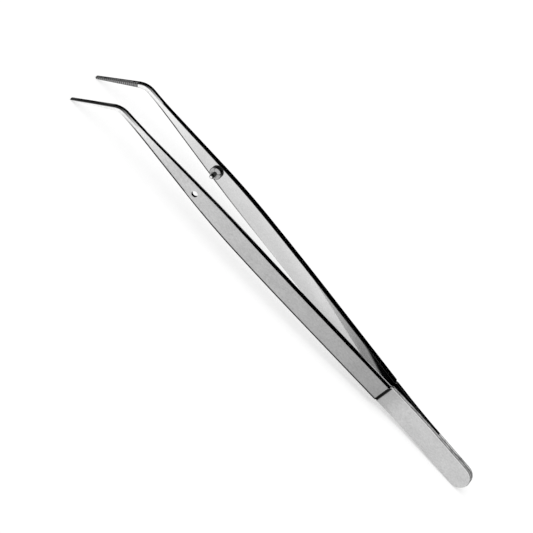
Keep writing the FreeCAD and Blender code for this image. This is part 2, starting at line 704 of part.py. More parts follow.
def widen_mouth(body, hole):
    """Conical mouth of the guide hole on the inner face."""
    volume_before = body.Shape.Volume
    hole.HoleCutType = "Countersink"
    hole.HoleCutCustomValues = True
    hole.setExpression("HoleCutDiameter", "dimensions.lead_in_diameter")
    hole.setExpression("HoleCutCountersinkAngle", "dimensions.lead_in_angle")
    finish_cut(body, volume_before, hole.Name)


def cut_teeth(body, side):
    """Row of V grooves straight across the inner face of the beak."""
    bend = size("bend_angle")
    sketch = new_sketch(body, f"{body.Name}_groove", "XY_Plane")
    sketch.AttachmentOffset = Placement(
        Vector(bend_distance(), 0, 0), Rotation(Vector(0, 1, 0), bend))
    sketch.setExpression("AttachmentOffset.Base.x", BEND_DISTANCE)
    sketch.setExpression("AttachmentOffset.Rotation.Angle", "dimensions.bend_angle")

    reach = (size("beak_length") - size("tip_radius")) / math.cos(math.radians(bend))
    first = reach + size("tip_radius") - size("toothed_length")
    mouth = size("tooth_pitch") - size("tooth_crest")
    level = face["beak"].y
    mouth_start = Vector(first, side * level, 0)
    mouth_end = Vector(first + mouth, side * level, 0)
    root = Vector(first + mouth / 2, side * (level + size("tooth_depth")), 0)
    opening = sketch.addGeometry(line(mouth_start, mouth_end))
    front = sketch.addGeometry(line(mouth_end, root))
    back = sketch.addGeometry(line(root, mouth_start))
    constrain(sketch, "Coincident", opening, END, front, START)
    constrain(sketch, "Coincident", front, END, back, START)
    constrain(sketch, "Coincident", back, END, opening, START)
    constrain(sketch, "Horizontal", opening)
    constrain(sketch, "Equal", front, back)
    bind(sketch, "mouth", "dimensions.tooth_pitch - dimensions.tooth_crest", "Distance", opening, mouth)
    bind(sketch, "depth", "dimensions.tooth_depth",
         "Distance", front, END, opening, size("tooth_depth"))
    bind(sketch, "first_at",
         "(dimensions.beak_length - dimensions.tip_radius) / cos(dimensions.bend_angle)"
         " + dimensions.tip_radius - dimensions.toothed_length",
         "DistanceX", *ORIGIN, opening, START, first)
    level_ends = (*ORIGIN, opening, START) if side == NEAR else (opening, START, *ORIGIN)
    bind(sketch, "level", f"{body.Name}_profile.Constraints.beak_level", "DistanceY", *level_ends, level)

    volume_before = body.Shape.Volume
    groove = body.newObject("PartDesign::Pocket", f"{body.Name}_tooth_gap")
    groove.Profile = sketch
    groove.SideType = "Symmetric"
    groove.Length = 2 * size("neck_width")
    groove.setExpression("Length", "2 * dimensions.neck_width")
    doc.recompute()

    teeth = body.newObject("PartDesign::LinearPattern", f"{body.Name}_teeth")
    teeth.Originals = [groove]
    teeth.Direction = (sketch, ["H_Axis"])
    teeth.Mode = "Spacing"
    teeth.Offset = size("tooth_pitch")
    teeth.setExpression("Offset", "dimensions.tooth_pitch")
    teeth.Occurrences = math.floor(size("toothed_length") / size("tooth_pitch"))
    teeth.setExpression("Occurrences", "floor(dimensions.toothed_length / dimensions.tooth_pitch)")
    body.Tip = teeth
    finish_cut(body, volume_before, teeth.Name)


# Guide pin


def make_guide_pin():
    """Turned pin, drawn with the far blade's inner face at zero and its nose along the sketch's y."""
    body = doc.addObject("PartDesign::Body", "guide_pin")
    body.Label = "guide_pin"
    sketch = new_sketch(body, "guide_pin_section", "XZ_Plane")
    nose = size("pin_nose_diameter") / 2
    collar = size("pin_collar_diameter") / 2
    shank = size("pin_shank_diameter") / 2
    wall = back["guide_wall"]
    height = size("pin_collar_height")
    top = height + size("pin_nose_length")
    rounding = size("pin_nose_rounding")
    chamfer = size("pin_collar_chamfer")
    dome = size("pin_dome_height")
    dome_radius = (shank ** 2 + dome ** 2) / (2 * dome)
    dome_end = Vector(0, -wall - dome, 0)
    nose_corner = Vector(nose - rounding, top - rounding, 0)

    outline = [
        line(dome_end, Vector(0, top, 0)),
        line(Vector(0, top, 0), Vector(nose_corner.x, top, 0)),
        arc(nose_corner, Vector(nose_corner.x, top, 0), Vector(nose, nose_corner.y, 0), False),
        line(Vector(nose, nose_corner.y, 0), Vector(nose, height, 0)),
        line(Vector(nose, height, 0), Vector(collar - chamfer, height, 0)),
        line(Vector(collar - chamfer, height, 0), Vector(collar, height - chamfer, 0)),
        line(Vector(collar, height - chamfer, 0), Vector(collar, 0, 0)),
        line(Vector(collar, 0, 0), Vector(shank, 0, 0)),
        line(Vector(shank, 0, 0), Vector(shank, -wall, 0)),
        arc(dome_end + Vector(0, dome_radius, 0), Vector(shank, -wall, 0), dome_end, False),
    ]
    (axis, nose_end, nose_round, nose_side, collar_face, collar_bevel, collar_side, seat,
     shank_side, dome_arc) = [sketch.addGeometry(item) for item in outline]

    constrain(sketch, "PointOnObject", axis, START, Y_AXIS)
    constrain(sketch, "Vertical", axis)
    constrain(sketch, "Coincident", axis, END, nose_end, START)
    constrain(sketch, "Horizontal", nose_end)
    constrain(sketch, "Tangent", nose_end, END, nose_round, END)
    constrain(sketch, "Tangent", nose_round, START, nose_side, START)
    constrain(sketch, "Vertical", nose_side)
    constrain(sketch, "Coincident", nose_side, END, collar_face, START)
    constrain(sketch, "Horizontal", collar_face)
    constrain(sketch, "Coincident", collar_face, END, collar_bevel, START)
    constrain(sketch, "Coincident", collar_bevel, END, collar_side, START)
    constrain(sketch, "Vertical", collar_side)
    constrain(sketch, "Coincident", collar_side, END, seat, START)
    constrain(sketch, "PointOnObject", seat, START, X_AXIS)
    constrain(sketch, "Horizontal", seat)
    constrain(sketch, "Coincident", seat, END, shank_side, START)
    constrain(sketch, "Vertical", shank_side)
    constrain(sketch, "Coincident", shank_side, END, dome_arc, END)
    constrain(sketch, "Coincident", dome_arc, START, axis, START)
    constrain(sketch, "PointOnObject", dome_arc, CENTRE, Y_AXIS)

    bind(sketch, "nose_top", "dimensions.pin_collar_height + dimensions.pin_nose_length",
         "DistanceY", *ORIGIN, axis, END, top)
    bind(sketch, "nose_rounding", "dimensions.pin_nose_rounding", "Radius", nose_round, rounding)
    bind(sketch, "nose_radius", "dimensions.pin_nose_diameter / 2",
         "DistanceX", *ORIGIN, nose_side, END, nose)
    bind(sketch, "collar_height", "dimensions.pin_collar_height",
         "DistanceY", *ORIGIN, collar_face, START, height)
    bind(sketch, "bevel_width", "dimensions.pin_collar_chamfer",
         "DistanceX", collar_bevel, START, collar_bevel, END, chamfer)
    bind(sketch, "bevel_height", "dimensions.pin_collar_chamfer",
         "DistanceY", collar_bevel, END, collar_bevel, START, chamfer)
    bind(sketch, "collar_radius", "dimensions.pin_collar_diameter / 2",
         "DistanceX", *ORIGIN, collar_side, END, collar)
    bind(sketch, "shank_radius", "dimensions.pin_shank_diameter / 2",
         "DistanceX", *ORIGIN, shank_side, START, shank)
    bind(sketch, "shank_length", "far_blade_profile.Constraints.guide_wall",
         "DistanceY", shank_side, END, *ORIGIN, wall)
    bind(sketch, "dome_height", "dimensions.pin_dome_height",
         "DistanceY", axis, START, shank_side, END, dome)

    turned = body.newObject("PartDesign::Revolution", "guide_pin_turning")
    turned.Profile = sketch
    turned.ReferenceAxis = (sketch, ["V_Axis"])
    turned.Angle = 360
    doc.recompute()
    return body


# Assembly


def part_placement():
    """From the drawing frame to the frame of the part.

    Seen from the broad side, the pliers touch the surface with the round tail end and the round tips,
    so the surface is the line that both circles touch from above.
    """
    tail_radius = size("tail_width") / 2
    tail_centre = Vector(tail_radius, 0, 0)
    reach = tip_centre - tail_centre
    slope = math.atan2(-reach.y, reach.x) - math.asin((tail_radius - size("tip_radius")) / reach.Length)
    level = Rotation(Vector(0, 1, 0), -math.degrees(slope))
    turn = Rotation(Vector(0, 0, 1), 180)

    def levelled(centre):
        return level.multVec(Vector(centre.x, 0, centre.y))

    back = levelled(tail_centre).x - tail_radius
    front = levelled(tip_centre).x + size("tip_radius")
    ground = levelled(tail_centre).z - tail_radius
    return Placement(Vector((back + front) / 2, 0, -ground), turn.multiply(level))


def pin_placement():
    """On the far blade's inner face at the guide distance, square to it, nose towards the near blade."""
    seat = Vector(face["guide"].x, -face["guide"].y, 0)
    upright = Rotation(Vector(1, 0, 0), -90)
    lean = Rotation(Vector(0, 0, 1), -size("shank_angle"))
    return Placement(seat, lean.multiply(upright))


def check_document():
    """Stop on anything that failed to recompute."""
    for item in doc.Objects:
        if {"Invalid", "Error"} & set(item.State):
            raise RuntimeError(f"{item.Name} did not recompute: {item.State}")


def export(body):
    shape = body.Shape
    if shape.isNull() or not shape.isValid():
        raise RuntimeError(f"{body.Label} has no valid shape")
    shape.exportStep(f"parts/{body.Label}.step")


near_blade = make_blank("near_blade", NEAR)
widen_mouth(near_blade, drill(near_blade, NEAR, "guide_hole", "guide_hole_diameter"))
cut_teeth(near_blade, NEAR)

far_blade = make_blank("far_blade", FAR)
drill(far_blade, FAR, "pin_hole", "pin_shank_diameter")
cut_teeth(far_blade, FAR)

guide_pin = make_guide_pin()

near_blade.Placement = part_placement()
far_blade.Placement = part_placement()
guide_pin.Placement = part_placement().multiply(pin_placement())
doc.recompute()
check_document()

os.makedirs("parts", exist_ok=True)
for piece in (near_blade, far_blade, guide_pin):
    export(piece)
    print(piece.Label, piece.Shape.BoundBox, round(piece.Shape.Volume, 2), "mm3", len(piece.Shape.Solids))
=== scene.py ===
import math

import bpy
from mathutils import Matrix, Vector


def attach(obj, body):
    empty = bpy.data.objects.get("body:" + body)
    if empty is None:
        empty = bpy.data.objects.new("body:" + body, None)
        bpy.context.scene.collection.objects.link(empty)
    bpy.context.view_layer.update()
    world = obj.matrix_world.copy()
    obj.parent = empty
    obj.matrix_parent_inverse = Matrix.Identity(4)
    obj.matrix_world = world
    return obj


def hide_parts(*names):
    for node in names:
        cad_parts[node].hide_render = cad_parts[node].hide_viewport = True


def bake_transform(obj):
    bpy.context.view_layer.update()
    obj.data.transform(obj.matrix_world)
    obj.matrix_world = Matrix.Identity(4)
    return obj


MM = 0.001

# Camera: turned from straight across the blades, raised over the floor and rolled about its own
# axis, aimed at a point near the middle of the pliers.
CAMERA_TURN = math.radians(3.03)
CAMERA_RISE = math.radians(35.4)
CAMERA_ROLL = math.radians(48.68)
CAMERA_DISTANCE = 1.0
CAMERA_TARGET = Vector((-5.88, 2.18, 2.62)) * MM
PICTURE_WIDTH = 533
PIXELS_PER_MM = 3.556
SENSOR_WIDTH = 36.0

# The pliers rest with their blades leaning down a little towards the tips. Places along the blades
# are measured in that leaning direction from near the middle of the pliers, positive towards the
# tail. The middle line of a blade turns down ahead of the bend.
LEAN = math.radians(2.845)
TAIL_END = 77.4 * MM
TAIL_ROUNDING = 74.5 * MM
WELD_FRONT = 61.0 * MM
STEP_FOOT = 42.6 * MM
STEP_CREST = 41.2 * MM
GUIDE = -35.2 * MM
BEAK_START = -60.0 * MM
BEND = -66.4 * MM
TIP_END = -77.6 * MM
MIDDLE_RISE = 7.37 * MM
BEAK_FALL = math.radians(45)

# Share of light that the steel gives back, at places along the blades in millimetres, with painted
# light and shade in it. The outer faces are tumbled; their tones are a painted reflection of the
# floor, darker at the grip and just behind the shoulder, lighter towards the tips and on the tail.
# The inner faces are polished, painted lighter at the tips as reflection and darker towards the
# weld as shade between the blades. The shoulder is painted dark on every side as shade, the narrow
# sides are painted darker towards the beak, and the round edges are painted mostly dark as shade.
OUTER_PAINTED_TONES = [(-70, 0.90), (-58, 0.82), (-46, 0.60), (-20, 0.52), (15, 0.42), (42.4, 0.33),
               (42.6, 0.42), (45, 0.45), (50, 0.56)]
INNER_PAINTED_TONES = [(-60, 0.94), (-42, 0.70), (10, 0.70), (22, 0.62), (31, 0.56), (40, 0.50), (44, 0.02)]
STEP_SHADE_TONES = [(41.3, 0.02), (42.3, 0.02), (42.6, 0.12)]
SIDE_PAINTED_TONES = [(-69, 0.26), (-50, 0.34), (-38, 0.42), (39, 0.42), (40.8, 0.04), (43.8, 0.04),
              (46, 0.30)]
EDGE_PAINTED_TONES = [(-66.4, 0.02), (-60.1, 0.75), (-59.9, 0.03), (28, 0.03), (38, 0.015)]

# The same for finishes that have one tone all over.
# The next two tones paint shade into the dark edge lines and a highlight into the bright tail edge.
EDGE_SHADE_TONE = 0.02
EDGE_HIGHLIGHT_TONE = 0.72
# The root tone below is painted shade between the blades near the weld.
ROOT_SHADE_TONE = 0.01
# The pale tone below is a painted sheen along the crowned side's inner edge.
INNER_EDGE_SHEEN_TONE = 0.85
WELD_TONE = 0.42
SEAM_TONE = 0.147
WELD_LINE_TONE = 0.189
# The hole's wall is painted near black, as shade inside the hole.
HOLE_SHADE_TONE = 0.02
# The two flank tones below paint shade on the serrations' flanks that face the tips and light on
# those that face the tail.
SHADED_FLANK_TONE = 0.02
LIT_FLANK_TONE = 0.17
# The pin is one steel painted in three tones by the way its faces point: the nose pale as a
# highlight, the sides near black as shade.
PIN_FACE_TONE = 0.44
PIN_NOSE_HIGHLIGHT_TONE = 0.80
PIN_SIDE_SHADE_TONE = 0.03

WHITE = (1.0, 1.0, 1.0, 1.0)
BLACK = (0.0, 0.0, 0.0, 1.0)
FLOOR_COLOUR = (0.50, 0.50, 0.50, 1.0)
FLOOR_GLOW = 0.52
SKY_LIGHT = 0.55

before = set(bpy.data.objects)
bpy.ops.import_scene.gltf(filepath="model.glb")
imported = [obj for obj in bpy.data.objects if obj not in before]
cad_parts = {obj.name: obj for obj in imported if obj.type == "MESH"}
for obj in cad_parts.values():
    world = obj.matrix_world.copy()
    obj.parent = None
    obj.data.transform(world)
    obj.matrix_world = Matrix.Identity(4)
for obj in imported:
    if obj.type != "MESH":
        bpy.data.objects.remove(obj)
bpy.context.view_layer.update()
bpy.ops.object.select_all(action="DESELECT")


# Small helpers for node trees


def new_node(tree, kind, label, **settings):
    node = tree.nodes.new(kind)
    node.label = label
    for name, value in settings.items():
        setattr(node, name, value)
    return node


def new_group(name, inputs, outputs):
    """Node group of numbers: inputs maps their names to start values, outputs lists names."""
    group = bpy.data.node_groups.new(name, "ShaderNodeTree")
    for label, value in inputs.items():
        socket = group.interface.new_socket(label, in_out="INPUT", socket_type="NodeSocketFloat")
        socket.default_value = value
    for label in outputs:
        group.interface.new_socket(label, in_out="OUTPUT", socket_type="NodeSocketFloat")
    entry = group.nodes.new("NodeGroupInput")
    leave = group.nodes.new("NodeGroupOutput")
    return group, entry, leave


def place_group(tree, group, label, **values):
    """Group node; each value goes to the input of that name, with spaces for underscores."""
    node = new_node(tree, "ShaderNodeGroup", label, node_tree=group)
    for name, value in values.items():
        node.inputs[name.replace("_", " ")].default_value = value
    return node


def feed(tree, socket, source):
    """Give an input socket a value of its own, or link another node's output to it."""
    if isinstance(source, bpy.types.NodeSocket):
        tree.links.new(source, socket)
    else:
        socket.default_value = source


def value_math(tree, operation, first, second, label):
    """Math node; each operand is a socket or a number."""
    node = new_node(tree, "ShaderNodeMath", label, operation=operation)
    feed(tree, node.inputs[0], first)
    feed(tree, node.inputs[1], second)
    return node.outputs[0]


def vector_math(tree, operation, first, second, label):
    """Vector math node; each operand is a socket or a vector."""
    node = new_node(tree, "ShaderNodeVectorMath", label, operation=operation)
    feed(tree, node.inputs[0], first)
    feed(tree, node.inputs[1], second)
    return node


def map_range(tree, value, label, start=0.0, end=1.0, low=0.0, high=1.0, steps="LINEAR"):
    """Number that goes from low to high as a value goes from start to end."""
    node = new_node(tree, "ShaderNodeMapRange", label, interpolation_type=steps)
    sources = {"Value": value, "From Min": start, "From Max": end, "To Min": low, "To Max": high}
    for name, source in sources.items():
        feed(tree, node.inputs[name], source)
    return node.outputs["Result"]


def mix_colours(tree, mask, first, second, label):
    """First colour where the mask is 0 and second where it is 1; each is a socket or a colour."""
    node = new_node(tree, "ShaderNodeMix", label, data_type="RGBA")
    feed(tree, node.inputs["Factor"], mask)
    feed(tree, node.inputs["A"], first)
    feed(tree, node.inputs["B"], second)
    return node.outputs["Result"]


def place_on_steel(tree):
    place = new_node(tree, "ShaderNodeTexCoord", "place on the steel")
    return place.outputs["Object"]


def own_mask(tree, attribute):
    """Number that the piece's own mesh carries."""
    node = new_node(tree, "ShaderNodeAttribute", attribute, attribute_name=attribute)
    return node.outputs["Fac"]


def add_noise(tree, place, scale, label, detail, roughness=0.5):
    node = new_node(tree, "ShaderNodeTexNoise", label)
    sources = {"Vector": place, "Scale": scale, "Detail": detail, "Roughness": roughness}
    for name, source in sources.items():
        feed(tree, node.inputs[name], source)
    return node.outputs["Fac"]


def grey(tone):
    return (tone, tone, tone, 1.0)


# Places on a blade, as masks

# Attributes of a blade's mesh. On the narrow sides, ACROSS goes from 0 at the inner face's edge to
# 1 at the outer face's. CROWN does the same on the blade whose sides are crowned, and is 1 all over
# on the other. On the broad faces there is the distance from the lower and from the upper edge.
ACROSS = "across"
CROWN = "crown"
ABOVE_LOWER_EDGE = "above_lower_edge"
BELOW_UPPER_EDGE = "below_upper_edge"

# How far the dark lines of painted shade along the edges reach over the broad faces, the share of
# that reach where they are full, where they fade, and how far the painted highlight line reaches on
# the tail.
EDGE_SHADE_REACH = 0.46 * MM
LINE_CORE = 0.35
BEAK_LINE_END = -58.0 * MM
SHANK_LINE_END = (-34.0 * MM, -10.0 * MM)
EDGE_HIGHLIGHT_REACH = 0.13 * MM


def place_along(tree):
    """Place along the blades, measured as TAIL_END and the other places are."""
    leaning = (math.cos(LEAN), 0.0, -math.sin(LEAN))
    along = vector_math(tree, "DOT_PRODUCT", place_on_steel(tree), leaning, "along the blades")
    return along.outputs["Value"]


def falls_along(tree, start, end, label):
    """Mask that is 1 on the tips' side of start and 0 beyond end."""
    return map_range(tree, place_along(tree), label, start, end, low=1.0, high=0.0)


def from_edge(tree, attribute, reach, label):
    """Mask on the broad faces, 1 at one long edge and 0 at reach from it."""
    return map_range(tree, own_mask(tree, attribute), label, LINE_CORE * reach, reach,
                     low=1.0, high=0.0, steps="SMOOTHSTEP")


def over_side(tree, attribute, start, end, label):
    """Mask on the narrow sides, from 0 at one share of the way across to 1 at another."""
    return map_range(tree, own_mask(tree, attribute), label, start, end, steps="SMOOTHSTEP")


# Surface effects that more than one steel shares

# The grain's clouding is coarser than the grain. The mottle is made of both, and spans the levels
# of noise that are common.
CLOUD_SCALE = 0.12
GRAIN_SHARE = 0.72
CLOUD_SHARE = 0.28
COMMON_NOISE = (0.32, 0.68)

# Scratches are the places where a noise field, drawn out along the blade, is close to its middle.
SCRATCH_SCALE = 8.0
DRAWN_OUT = (0.06, 1.0, 1.0)
NOISE_MIDDLE = 0.5
SCRATCH_WIDTH = 0.012


def make_satin_grain():
    """Fine random grain of tumbled steel: a mottled mask and a height, at the size of the grain."""
    group, entry, leave = new_group(
        "satin_grain", {"Grains per Metre": 2600.0, "Stretch": 1.0}, ["Mottle", "Height"])
    scale = entry.outputs["Grains per Metre"]
    stretch = new_node(group, "ShaderNodeCombineXYZ", "grain runs along the blade")
    for axis, source in {"X": entry.outputs["Stretch"], "Y": 1.0, "Z": 1.0}.items():
        feed(group, stretch.inputs[axis], source)
    place = vector_math(group, "MULTIPLY", place_on_steel(group), stretch.outputs["Vector"],
                        "stretched place").outputs["Vector"]
    fine = add_noise(group, place, scale, "fine grain", detail=4.0, roughness=0.6)
    cloud_scale = value_math(group, "MULTIPLY", scale, CLOUD_SCALE, "cloud scale")
    cloud = add_noise(group, place, cloud_scale, "slow clouding", detail=3.0)
    both = value_math(group, "ADD", value_math(group, "MULTIPLY", fine, GRAIN_SHARE, "fine share"),
                      value_math(group, "MULTIPLY", cloud, CLOUD_SHARE, "slow share"), "both")
    mottle = map_range(group, both, "mottle contrast", *COMMON_NOISE)
    group.links.new(mottle, leave.inputs["Mottle"])
    group.links.new(fine, leave.inputs["Height"])
    return group


def make_hairline_scratches():
    """Few thin scratches from handling and from the instrument tray."""
    group, entry, leave = new_group(
        "hairline_scratches", {"Scratches per Metre": 260.0, "Slant": 0.35}, ["Scratch"])
    turn = new_node(group, "ShaderNodeVectorRotate", "slanted to the blade", rotation_type="Y_AXIS")
    feed(group, turn.inputs["Vector"], place_on_steel(group))
    feed(group, turn.inputs["Angle"], entry.outputs["Slant"])
    place = vector_math(group, "MULTIPLY", turn.outputs["Vector"], DRAWN_OUT,
                        "long thin cells").outputs["Vector"]
    scale = value_math(group, "MULTIPLY", entry.outputs["Scratches per Metre"], SCRATCH_SCALE,
                       "scratch scale")
    field = add_noise(group, place, scale, "scratch field", detail=2.0)
    level = value_math(group, "SUBTRACT", field, NOISE_MIDDLE, "level")
    away = value_math(group, "ABSOLUTE", level, 0.0, "distance from the line")
    scratch = map_range(group, away, "thin line", 0.0, SCRATCH_WIDTH, low=1.0, high=0.0)
    group.links.new(scratch, leave.inputs["Scratch"])
    return group


def make_painted_edge_light():
    """Masks of the painted shade lines along the blade's lower edge and along the beak's upper
    edge, and of the painted highlight along the upper edge of the tail."""
    group, entry, leave = new_group(
        "painted_edge_light", {"Lower Line Fades": STEP_CREST, "Lower Line Ends": STEP_FOOT},
        ["Dark", "Bright"])
    faded = falls_along(group, entry.outputs["Lower Line Fades"], entry.outputs["Lower Line Ends"],
                        "ahead of the lower line's end")
    blade = falls_along(group, STEP_CREST, STEP_FOOT, "ahead of the shoulder")
    beak = falls_along(group, BEND, BEAK_LINE_END, "towards the bend")
    lower = value_math(
        group, "MULTIPLY", from_edge(group, ABOVE_LOWER_EDGE, EDGE_SHADE_REACH, "along the lower edge"),
        value_math(group, "SUBTRACT", faded, beak, "behind the bend"), "dark lower edge")
    upper = value_math(
        group, "MULTIPLY", from_edge(group, BELOW_UPPER_EDGE, EDGE_SHADE_REACH, "along the upper edge"),
        beak, "dark upper edge of the beak")
    tail = value_math(
        group, "SUBTRACT", falls_along(group, TAIL_ROUNDING, TAIL_END, "ahead of the round end"),
        blade, "tail")
    bright = value_math(
        group, "MULTIPLY", from_edge(group, BELOW_UPPER_EDGE, EDGE_HIGHLIGHT_REACH, "close to the edge"),
        tail, "bright edge of the tail")
    dark = value_math(group, "MAXIMUM", lower, upper, "dark edges")
    group.links.new(dark, leave.inputs["Dark"])
    group.links.new(bright, leave.inputs["Bright"])
    return group


SATIN_GRAIN = make_satin_grain()
HAIRLINE_SCRATCHES = make_hairline_scratches()
PAINTED_EDGE_LIGHT = make_painted_edge_light()


# Steels

# Share of glancing light that dark steel gives back.
DARK_GLANCE = (0.35, 0.35, 0.35, 1.0)

# The painted shade between the blades at the root of the inner faces reaches further along the
# blade at the upper edge than below it.
ROOT_SHADE_SLANT = 4.76
ROOT_SHADE_FROM = 27.0 * MM
ROOT_SHADE_TO = 31.5 * MM

# The pale inner edge of a crowned side, a painted sheen: its share of the side's width, how
# metallic it is, and where it fades, which is at the beak and at both ends of the grip.
CROWN_SHARE = 0.28
CROWN_METALLIC = 0.25
CROWN_TO_BEAK = (-66.0 * MM, -56.0 * MM)
SHANK_TO_GRIP = (-28.0 * MM, -12.0 * MM)
GRIP_TO_SHOULDER = (28.0 * MM, 34.0 * MM)

# Where the seam between the tails and the line under the outer face lie on the welded sides.
WELD_METALLIC = 0.35
SEAM = (0.02, 0.22)
WELD_LINE = (1.0, 0.82)


def start_steel(name, glance=WHITE):
    material = bpy.data.materials.new(name)
    material.use_nodes = True
    shader = material.node_tree.nodes["Principled BSDF"]
    shader.inputs["Metallic"].default_value = 1.0
    shader.inputs["Specular Tint"].default_value = glance
    return material, material.node_tree, shader


def tone_along(tree, tones):
    """Grey tone by the place along the blades, through (millimetres, tone) in rising order."""
    share = map_range(tree, place_along(tree), "from the tips to the tail end", TIP_END, TAIL_END)
    ramp = new_node(tree, "ShaderNodeValToRGB", "tone along the blades")
    stops = ramp.color_ramp.elements
    ready_made = len(stops)
    for index, (millimetres, tone) in enumerate(tones):
        position = (millimetres * MM - TIP_END) / (TAIL_END - TIP_END)
        stop = stops[index] if index < ready_made else stops.new(position)
        stop.position = position
        stop.color = grey(tone)
    tree.links.new(share, ramp.inputs["Fac"])
    return ramp.outputs["Color"]


def add_painted_edge_light(tree, tone, lower_line_end):
    lines = place_group(tree, PAINTED_EDGE_LIGHT, "lines along the edges",
                        Lower_Line_Fades=lower_line_end[0], Lower_Line_Ends=lower_line_end[1])
    tone = mix_colours(tree, lines.outputs["Dark"], tone, grey(EDGE_SHADE_TONE), "dark edges")
    return mix_colours(tree, lines.outputs["Bright"], tone, grey(EDGE_HIGHLIGHT_TONE), "bright edge")


def add_grain(tree, shader, grain, tone, contrast, gloss, dulling=0.0):
    """Let a grain vary the tone by a share, and the roughness between two values."""
    mottle = grain.outputs["Mottle"]
    grainy = new_node(tree, "ShaderNodeVectorMath", "grainy tone", operation="SCALE")
    feed(tree, grainy.inputs[0], tone)
    feed(tree, grainy.inputs["Scale"],
         map_range(tree, mottle, "grain tone", low=1 - contrast, high=1 + contrast))
    tree.links.new(grainy.outputs["Vector"], shader.inputs["Base Color"])
    rough = map_range(tree, mottle, "grain gloss", low=gloss[0], high=gloss[1])
    tree.links.new(value_math(tree, "ADD", rough, dulling, "dulled"), shader.inputs["Roughness"])


def add_relief(tree, shader, grain, strength, depth):
    bump = new_node(tree, "ShaderNodeBump", "grain relief")
    bump.inputs["Strength"].default_value = strength
    bump.inputs["Distance"].default_value = depth
    tree.links.new(grain.outputs["Height"], bump.inputs["Height"])
    tree.links.new(bump.outputs["Normal"], shader.inputs["Normal"])


def make_satin_steel():
    """Outer faces: tumbled grain, in a tone of painted reflection that is darker at the grip and
    lighter towards the tips and on the tail.
    """
    material, tree, shader = start_steel("satin_steel")
    grain = place_group(tree, SATIN_GRAIN, "tumbled grain", Grains_per_Metre=2600.0, Stretch=0.55)
    tone = add_painted_edge_light(tree, tone_along(tree, OUTER_PAINTED_TONES), (STEP_CREST, STEP_FOOT))
    add_grain(tree, shader, grain, tone, contrast=0.17, gloss=(0.28, 0.38))
    add_relief(tree, shader, grain, strength=0.25, depth=0.004 * MM)
    return material


def make_polished_steel():
    """Inner faces: polished, with hairline scratches, and painted shade between the blades at the
    root.
    """
    material, tree, shader = start_steel("polished_steel")
    grain = place_group(tree, SATIN_GRAIN, "polishing haze", Grains_per_Metre=3200.0, Stretch=0.5)
    scratches = place_group(tree, HAIRLINE_SCRATCHES, "handling",
                            Scratches_per_Metre=260.0, Slant=0.4)
    ahead = value_math(tree, "MULTIPLY", own_mask(tree, BELOW_UPPER_EDGE), ROOT_SHADE_SLANT,
                       "painted shade falls back below")
    slanted = value_math(tree, "SUBTRACT", place_along(tree), ahead, "slanted place")
    root_shade = map_range(tree, slanted, "painted root shade", ROOT_SHADE_FROM, ROOT_SHADE_TO, steps="SMOOTHSTEP")
    tone = mix_colours(tree, root_shade, tone_along(tree, INNER_PAINTED_TONES), grey(ROOT_SHADE_TONE), "root_shade")
    tone = add_painted_edge_light(tree, tone, SHANK_LINE_END)
    dulling = map_range(tree, scratches.outputs["Scratch"], "dull scratch", high=0.12)
    add_grain(tree, shader, grain, tone, contrast=0.08, gloss=(0.05, 0.09), dulling=dulling)
    add_relief(tree, shader, grain, strength=0.08, depth=0.002 * MM)
    return material


def make_side_steel():
    """Narrow sides: ground along the blade and polished, painted darker towards the beak and at the
    shoulder as shade, and painted pale along a crowned inner edge as sheen.
    """
    material, tree, shader = start_steel("side_steel", DARK_GLANCE)
    grain = place_group(tree, SATIN_GRAIN, "grinding lines", Grains_per_Metre=3800.0, Stretch=0.08)
    inward = over_side(tree, CROWN, 0.0, CROWN_SHARE, "away from the inner edge")
    beak = falls_along(tree, *CROWN_TO_BEAK, "beak without a crown")
    shank = falls_along(tree, *SHANK_TO_GRIP, "ahead of the grip")
    shank_and_grip = falls_along(tree, *GRIP_TO_SHOULDER, "ahead of the shoulder")
    grip = value_math(tree, "SUBTRACT", shank_and_grip, shank, "grip without a crown")
    dark = value_math(tree, "MAXIMUM", inward, value_math(tree, "MAXIMUM", beak, grip, "no crown"),
                      "away from the crown")
    tone = mix_colours(tree, dark, grey(INNER_EDGE_SHEEN_TONE), tone_along(tree, SIDE_PAINTED_TONES), "pale edge")
    add_grain(tree, shader, grain, tone, contrast=0.10, gloss=(0.09, 0.14))
    tree.links.new(map_range(tree, dark, "pale or bare metal", low=CROWN_METALLIC),
                   shader.inputs["Metallic"])
    add_relief(tree, shader, grain, strength=0.12, depth=0.002 * MM)
    return material


def make_weld_steel():
    """Narrow sides where the blades are welded: discoloured, with a matt scale and a dark seam."""
    material, tree, shader = start_steel("weld_steel")
    shader.inputs["Metallic"].default_value = WELD_METALLIC
    grain = place_group(tree, SATIN_GRAIN, "weld scale", Grains_per_Metre=1300.0, Stretch=0.45)
    seam = over_side(tree, ACROSS, *SEAM, "away from the seam")
    line = over_side(tree, ACROSS, *WELD_LINE, "away from the outer face")
    tone = mix_colours(tree, seam, grey(SEAM_TONE), grey(WELD_TONE), "seam")
    tone = mix_colours(tree, line, grey(WELD_LINE_TONE), tone, "seam and line")
    add_grain(tree, shader, grain, tone, contrast=0.75, gloss=(0.42, 0.6))
    add_relief(tree, shader, grain, strength=0.5, depth=0.01 * MM)
    return material


def make_worked_steel(name, marks, grains, tone, contrast, gloss, stretch=1.0, relief=None):
    """Steel with one kind of marks. Its tone is a number, or tones along the blades."""
    material, tree, shader = start_steel(name, DARK_GLANCE)
    grain = place_group(tree, SATIN_GRAIN, marks, Grains_per_Metre=grains, Stretch=stretch)
    tone = tone_along(tree, tone) if isinstance(tone, list) else (tone, tone, tone)
    add_grain(tree, shader, grain, tone, contrast, gloss)
    if relief:
        add_relief(tree, shader, grain, **relief)
    return material


